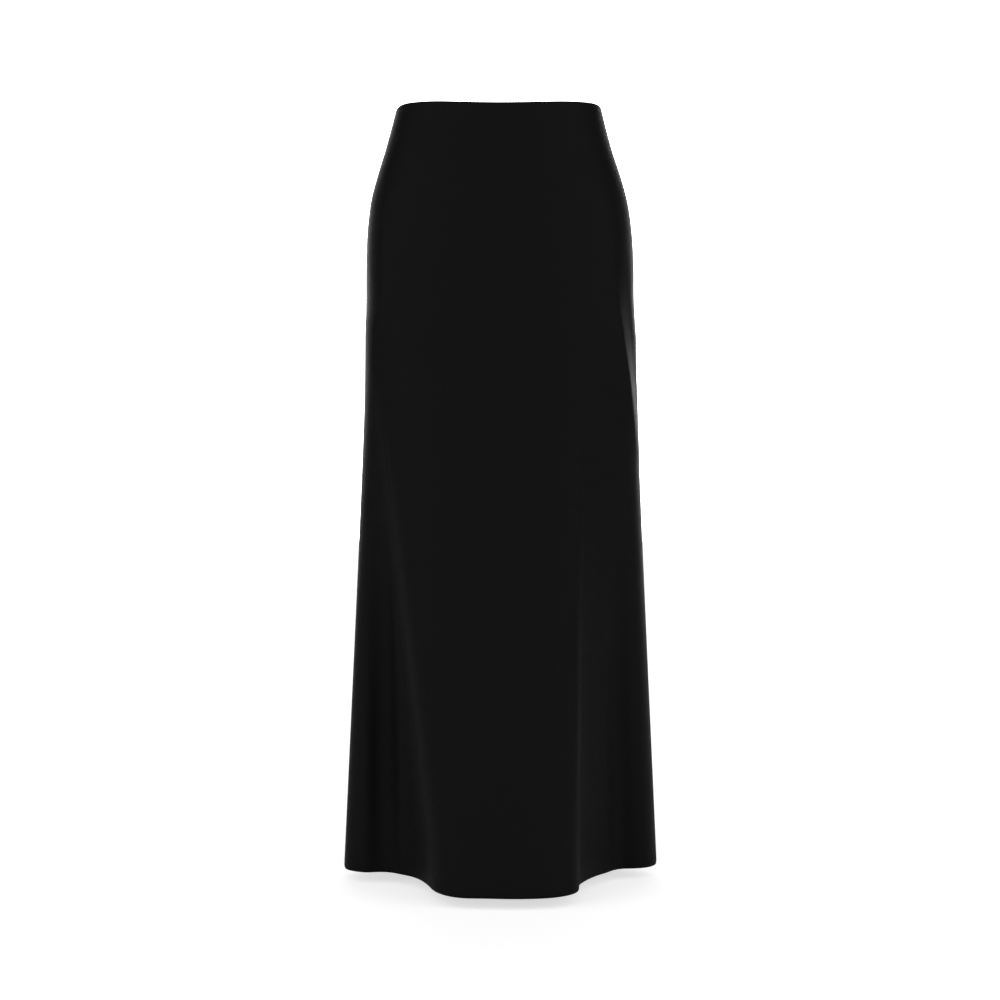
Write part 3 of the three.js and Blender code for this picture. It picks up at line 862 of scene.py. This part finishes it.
class Nodes:
    """A node tree, with short ways to add to it."""

    def __init__(self, tree):
        self.tree = tree

    def add(self, kind, **settings):
        node = self.tree.nodes.new(kind)
        for key, value in settings.items():
            setattr(node, key, value)
        return node

    def link(self, source, target):
        self.tree.links.new(source, target)

    def math(self, operation, *values):
        node = self.add("ShaderNodeMath", operation=operation)
        for socket, value in zip(node.inputs, values):
            if isinstance(value, (int, float)):
                socket.default_value = value
            else:
                self.link(value, socket)
        return node.outputs[0]

    def split(self, vector):
        """A vector's X, Y and Z."""
        node = self.add("ShaderNodeSeparateXYZ")
        self.link(vector, node.inputs[0])
        return node.outputs

    def ranged(self, value, low, high, start=0.0, end=1.0, **settings):
        """value, from start to end, taken to low to high."""
        node = self.add("ShaderNodeMapRange", **settings)
        self.link(value, node.inputs["Value"])
        for socket, number in zip(node.inputs[1:5], (start, end, low, high)):
            socket.default_value = number
        return node.outputs[0]

    def camera_ray(self):
        """1 for what the camera sees itself, and 0 for all light."""
        return self.add("ShaderNodeLightPath").outputs["Is Camera Ray"]


class Material(Nodes):
    """A material's nodes about its shader."""

    def __init__(self, name):
        self.material = bpy.data.materials.new(name)
        self.material.use_nodes = True
        super().__init__(self.material.node_tree)
        self.tree.nodes.clear()
        self.shader = self.add("ShaderNodeBsdfPrincipled")
        output = self.add("ShaderNodeOutputMaterial")
        self.link(self.shader.outputs[0], output.inputs["Surface"])

    def set(self, **values):
        """Values of the shader's own sockets, with _ for each space in their names."""
        for key, value in values.items():
            self.shader.inputs[key.replace("_", " ")].default_value = value

    def colour(self, value, tint=(1, 1, 1)):
        """Gives the shader a colour of that brightness, a little tinted."""
        node = self.add("ShaderNodeCombineColor")
        for socket, share in zip(node.inputs, tint):
            self.link(self.math("MULTIPLY", value, share), socket)
        self.link(node.outputs[0], self.shader.inputs["Base Color"])

    def thread(self):
        """The place in the weave, in metres across and along the cloth."""
        return self.add("ShaderNodeAttribute", attribute_name="thread").outputs["Vector"]

    def position(self):
        return self.add("ShaderNodeTexCoord").outputs["Object"]

    def noise(self, vector, scale, detail=2.0, roughness=0.5):
        node = self.add("ShaderNodeTexNoise")
        self.link(vector, node.inputs["Vector"])
        node.inputs["Scale"].default_value = scale
        node.inputs["Detail"].default_value = detail
        node.inputs["Roughness"].default_value = roughness
        return node.outputs["Fac"]

    def bump(self, height, distance):
        node = self.add("ShaderNodeBump")
        self.link(height, node.inputs["Height"])
        node.inputs["Distance"].default_value = distance
        node.inputs["Strength"].default_value = 1.0
        self.link(node.outputs[0], self.shader.inputs["Normal"])


def wool_material():
    """Black wool twill: fine diagonal ribs of yarns, a short nap, a faintly uneven dye, and painted
    shade in the hollows between the ribs.
    """
    n = Material("black_wool")
    thread = n.thread()
    u, v, _ = n.split(thread)
    turn = 2 * math.pi / YARN
    wander = n.math("MULTIPLY", n.noise(thread, 900, 1), 1.6)  # no yarn runs quite straight
    warp = n.math("SINE", n.math("ADD", n.math("MULTIPLY", u, turn), wander))
    weft = n.math("SINE", n.math("ADD", n.math("MULTIPLY", v, turn), wander))
    slant = n.math("ADD", u, n.math("MULTIPLY", v, RIB_SLANT))
    rib = n.math("SINE", n.math("ADD", n.math("MULTIPLY", slant, turn / RIB_YARNS), wander))
    weave = n.math("ADD", n.math("MULTIPLY", n.math("ADD", warp, weft), 0.16),
                   n.math("MULTIPLY", rib, 0.34))
    nap = n.noise(n.position(), 2600, 3, 0.65)
    n.bump(n.math("ADD", n.math("MULTIPLY", weave, 0.5), n.math("MULTIPLY", nap, 0.9)), 0.0001)

    dye = n.ranged(n.noise(n.position(), 18, 3, 0.6), 0.92, 1.08)
    fibre = n.ranged(n.noise(thread, 1500, 2, 0.7), 0.78, 1.22)
    # Painted shade: the wool's colour is darker in the twill's hollows between its ribs and lighter
    # on their crests, following the ribs of the bump.
    rib_hollow_shade = n.ranged(n.math("MULTIPLY", n.math("ADD", rib, 1), 0.5), 0.88, 1.06)
    shade = n.math("MULTIPLY", n.math("MULTIPLY", dye, fibre), n.math("MULTIPLY", rib_hollow_shade, WOOL))
    n.colour(shade, (1.0, 0.985, 0.97))
    n.link(n.ranged(fibre, 0.46, 0.50), n.shader.inputs["Roughness"])
    n.set(Specular_IOR_Level=0.06, Sheen_Weight=0.03, Sheen_Roughness=0.2)
    return n.material


def tape_material():
    """The zip's woven tape: fine ribs across it."""
    n = Material("zip_tape")
    thread = n.thread()
    u, v, _ = n.split(thread)
    ribs = n.math("SINE", n.math("MULTIPLY", v, 2 * math.pi / TAPE_RIB))
    warps = n.math("SINE", n.math("MULTIPLY", u, 2 * math.pi / TAPE_WARP))
    n.bump(n.math("ADD", n.math("MULTIPLY", ribs, 0.5), n.math("MULTIPLY", warps, 0.3)), 0.00012)
    n.colour(n.math("MULTIPLY", n.ranged(n.noise(thread, 1800, 2), 0.7, 1.3), TAPE_SHADE))
    n.set(Roughness=0.6, Specular_IOR_Level=0.25)
    return n.material


def metal_material():
    """Black lacquered metal, with light wear and dust in the lacquer."""
    n = Material("zip_metal")
    n.colour(n.ranged(n.noise(n.position(), 3500, 3, 0.7), 0.010, 0.030))
    n.link(n.ranged(n.noise(n.position(), 900, 4, 0.6), 0.22, 0.42), n.shader.inputs["Roughness"])
    n.bump(n.noise(n.position(), 1400, 2), 0.00003)
    n.set(Metallic=0.6, Specular_IOR_Level=0.4, Coat_Weight=0.25, Coat_Roughness=0.2)
    return n.material


def thread_material(name, brightness, roughness):
    """Twisted thread or nylon wire, of one colour but for a slight wear."""
    n = Material(name)
    n.colour(n.math("MULTIPLY", n.ranged(n.noise(n.position(), 1200, 2), 0.8, 1.2), brightness))
    n.bump(n.noise(n.position(), 6000, 1), 0.00004)
    n.set(Roughness=roughness, Specular_IOR_Level=0.3)
    return n.material


def finished(made, material):
    """The object, in that material alone."""
    made.data.materials.clear()
    made.data.materials.append(material)
    return made


wool, tape, metal = wool_material(), tape_material(), metal_material()
sewing_thread = thread_material("sewing_thread", 0.012, 0.45)
nylon = thread_material("zip_nylon", 0.014, 0.3)

# ---------------------------------------------------------------- the object

METAL_ROUND = 0.14  # how far the edges of the metal are rounded


def sewn(made, material):
    """A sewn-on piece, finished, riding on the skirt."""
    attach(made, "skirt")
    return finished(made, material)


for name, first, last in (
    ("front", RIGHT_SEAM, len(FOLDS)),  # up to the left side seam, a turn on
    ("back_left", LEFT_SEAM, BACK_SEAM),
    ("back_right", BACK_SEAM, RIGHT_SEAM),
):
    cloth, flat, area = panel(name, first, last, DARTS.get(name))
    finished(cloth, wool)
    details = [
        sewn(allowances(name, first, last), wool),
        sewn(overlock(name, first, last), sewing_thread),
        sewn(hem_stitches(name, first, last), sewing_thread),
    ]

for side_name, side in (("left", 1), ("right", -1)):
    tape_cloth = sewn(zip_tape_cloth(f"zip_tape_{side_name}_cloth", side), tape)
    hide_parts(f"zip_tape_{side_name}")
    sewn(zip_coil(f"zip_coil_{side_name}", side), nylon)
sewn(zip_stitching("zip_stitching"), sewing_thread)
sewn(zip_stops("zip_stops"), metal)

for node in ("zip_slider", "zip_pull"):
    hardware = finished(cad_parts[node], metal)
    rounding = hardware.modifiers.new("rounding", "BEVEL")
    rounding.width = METAL_ROUND * MM
    rounding.segments = 3

# ---------------------------------------------------------------- the studio

# The backdrop is seen white all round. It lights the skirt softly from the front, somewhat more
# from the front's two sides, less from above, hardly at all from further back, and most from
# right behind, where the skirt's edges catch the light.
SIDE_LIGHT, TOP_LIGHT, FAR_LIGHT, BACK_LIGHT = 1.4, 0.5, 0.03, 4.5
SIDE_SPAN, TOP_SPAN, FAR_SPAN, BACK_SPAN = (0.4, 0.9), (0.2, 0.9), (-0.25, 0.2), (0.66, 1.0)
FLOOR_BELOW, FLOOR_REACH = 14, 20000  # under the hem, and from the middle to each side
FLOOR_SHADE, FLOOR_GLOW = 0.9, 0.64

scene = bpy.context.scene
scene.view_settings.view_transform = "Standard"
scene.world = bpy.data.worlds.new("studio")
scene.world.use_nodes = True
sky = Nodes(scene.world.node_tree)


def turned(part, span, low, high):
    """Strength by a part of the light's direction: low before a span of it, high past it."""
    return sky.ranged(part, low, high, *span, interpolation_type="SMOOTHSTEP")


sideways, away, upwards = sky.split(sky.add("ShaderNodeTexCoord").outputs["Generated"])
beside = turned(sky.math("ABSOLUTE", sideways), SIDE_SPAN, 1.0, SIDE_LIGHT)
above = turned(upwards, TOP_SPAN, 1.0, TOP_LIGHT)
further = turned(away, FAR_SPAN, 1.0, FAR_LIGHT)
behind = turned(away, BACK_SPAN, 0.0, BACK_LIGHT)
around = sky.math("MULTIPLY", sky.math("MULTIPLY", beside, above), further)
light = sky.math("MAXIMUM", around, behind)
backdrop = sky.tree.nodes["Background"]
backdrop.inputs["Color"].default_value = (1, 1, 1, 1)
sky.link(sky.math("MAXIMUM", light, sky.camera_ray()), backdrop.inputs["Strength"])


def floor_material():
    """A pale floor, as white as the backdrop where it is seen. Its glow lights nothing."""
    n = Material("pale_floor")
    n.set(Roughness=1.0, Specular_IOR_Level=0.0)
    n.set(Base_Color=(FLOOR_SHADE, FLOOR_SHADE, FLOOR_SHADE, 1), Emission_Color=(1, 1, 1, 1))
    glow = n.math("MULTIPLY", n.camera_ray(), FLOOR_GLOW)
    n.link(glow, n.shader.inputs["Emission Strength"])
    return n.material


floor = mesh_object("floor", [
    (x * FLOOR_REACH, y * FLOOR_REACH, -SKIRT_LENGTH - FLOOR_BELOW)
    for x, y in ((-1, -1), (1, -1), (1, 1), (-1, 1))
], [(0, 1, 2, 3)])
finished(floor, floor_material())
